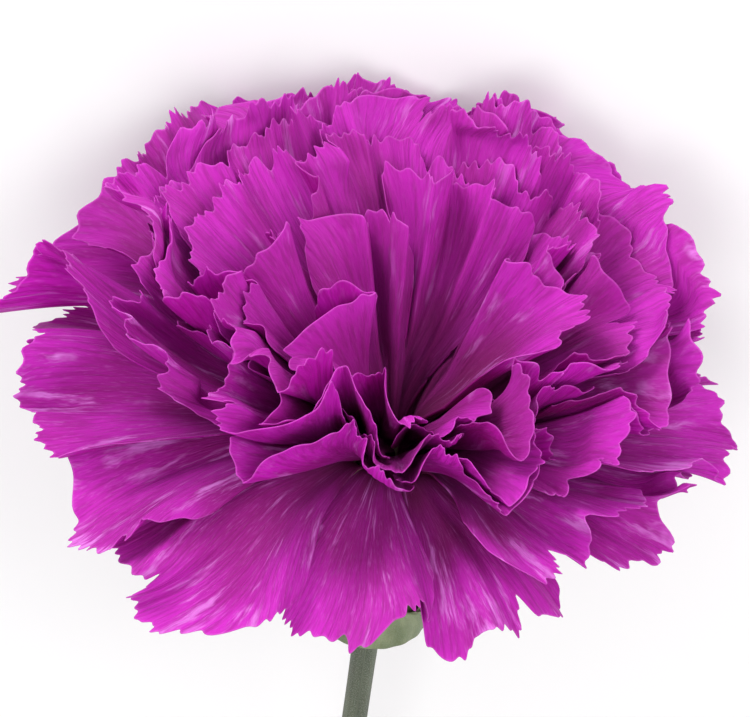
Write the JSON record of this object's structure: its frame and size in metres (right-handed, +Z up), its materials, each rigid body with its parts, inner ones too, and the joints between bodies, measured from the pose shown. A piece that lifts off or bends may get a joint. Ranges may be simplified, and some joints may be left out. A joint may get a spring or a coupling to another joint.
{
  "type": "cut carnation",
  "caption": "Single cut carnation lying on its side: a dense frilled head, a toothed tubular calyx, and a slender noded stem with one pair of narrow leaves.",
  "frame": {"origin": "on the surface it lies on, under the middle of the object's box", "axes": "+Z up; +Y along the stem towards the flower head, which is raised on its lowest petals; +X to the right seen from the cut end"},
  "size_m": [0.0806, 0.1818, 0.0603],
  "materials": {
    "calyx": "matte",
    "epicalyx_bract_1": "matte",
    "epicalyx_bract_2": "matte",
    "epicalyx_bract_3": "matte",
    "epicalyx_bract_4": "matte",
    "leaf_left": "matte, waxy bloom",
    "leaf_right": "matte, waxy bloom",
    "petal_core_a": "matte, finely veined",
    "petal_core_b": "matte, finely veined",
    "petal_core_c": "matte, finely veined",
    "petal_guard_a": "matte, finely veined",
    "petal_guard_b": "matte, finely veined",
    "petal_guard_c": "matte, finely veined",
    "petal_guard_d": "matte, finely veined",
    "petal_guard_e": "matte, finely veined",
    "petal_guard_f": "matte, finely veined",
    "petal_inner_a": "matte, finely veined",
    "petal_inner_b": "matte, finely veined",
    "petal_inner_c": "matte, finely veined",
    "petal_inner_d": "matte, finely veined",
    "petal_inner_e": "matte, finely veined",
    "petal_mid_a": "matte, finely veined",
    "petal_mid_b": "matte, finely veined",
    "petal_mid_c": "matte, finely veined",
    "petal_mid_d": "matte, finely veined",
    "petal_mid_e": "matte, finely veined",
    "petal_mid_f": "matte, finely veined",
    "petal_mid_g": "matte, finely veined",
    "petal_mid_h": "matte, finely veined",
    "petal_outer_a": "matte, finely veined",
    "petal_outer_b": "matte, finely veined",
    "petal_outer_c": "matte, finely veined",
    "petal_outer_d": "matte, finely veined",
    "petal_outer_e": "matte, finely veined",
    "petal_outer_f": "matte, finely veined",
    "petal_outer_g": "matte, finely veined",
    "petal_outer_h": "matte, finely veined",
    "petal_third_a": "matte, finely veined",
    "petal_third_b": "matte, finely veined",
    "petal_third_c": "matte, finely veined",
    "petal_third_d": "matte, finely veined",
    "petal_third_e": "matte, finely veined",
    "petal_third_f": "matte, finely veined",
    "petal_third_g": "matte, finely veined",
    "petal_wide_a": "matte, finely veined",
    "petal_wide_b": "matte, finely veined",
    "petal_wide_c": "matte, finely veined",
    "petal_wide_d": "matte, finely veined",
    "petal_wide_e": "matte, finely veined",
    "petal_wide_f": "matte, finely veined",
    "petal_wide_g": "matte, finely veined",
    "petal_wide_h": "matte, finely veined",
    "petal_wide_i": "matte, finely veined",
    "petal_wide_j": "matte, finely veined",
    "pistil": "matte",
    "stem": "matte, waxy bloom"
  },
  "bodies": {
    "root": {"calyx": "calyx", "epicalyx_bract_1": "epicalyx_bract_1", "epicalyx_bract_2": "epicalyx_bract_2", "epicalyx_bract_3": "epicalyx_bract_3", "epicalyx_bract_4": "epicalyx_bract_4", "leaf_left": "leaf_left", "leaf_right": "leaf_right", "petal_core_a": "petal_core_a", "petal_core_b": "petal_core_b", "petal_core_c": "petal_core_c", "petal_guard_a": "petal_guard_a", "petal_guard_b": "petal_guard_b", "petal_guard_c": "petal_guard_c", "petal_guard_d": "petal_guard_d", "petal_guard_e": "petal_guard_e", "petal_guard_f": "petal_guard_f", "petal_inner_a": "petal_inner_a", "petal_inner_b": "petal_inner_b", "petal_inner_c": "petal_inner_c", "petal_inner_d": "petal_inner_d", "petal_inner_e": "petal_inner_e", "petal_mid_a": "petal_mid_a", "petal_mid_b": "petal_mid_b", "petal_mid_c": "petal_mid_c", "petal_mid_d": "petal_mid_d", "petal_mid_e": "petal_mid_e", "petal_mid_f": "petal_mid_f", "petal_mid_g": "petal_mid_g", "petal_mid_h": "petal_mid_h", "petal_outer_a": "petal_outer_a", "petal_outer_b": "petal_outer_b", "petal_outer_c": "petal_outer_c", "petal_outer_d": "petal_outer_d", "petal_outer_e": "petal_outer_e", "petal_outer_f": "petal_outer_f", "petal_outer_g": "petal_outer_g", "petal_outer_h": "petal_outer_h", "petal_third_a": "petal_third_a", "petal_third_b": "petal_third_b", "petal_third_c": "petal_third_c", "petal_third_d": "petal_third_d", "petal_third_e": "petal_third_e", "petal_third_f": "petal_third_f", "petal_third_g": "petal_third_g", "petal_wide_a": "petal_wide_a", "petal_wide_b": "petal_wide_b", "petal_wide_c": "petal_wide_c", "petal_wide_d": "petal_wide_d", "petal_wide_e": "petal_wide_e", "petal_wide_f": "petal_wide_f", "petal_wide_g": "petal_wide_g", "petal_wide_h": "petal_wide_h", "petal_wide_i": "petal_wide_i", "petal_wide_j": "petal_wide_j", "pistil": "pistil", "stem": "stem"}
  },
  "joints": []
}
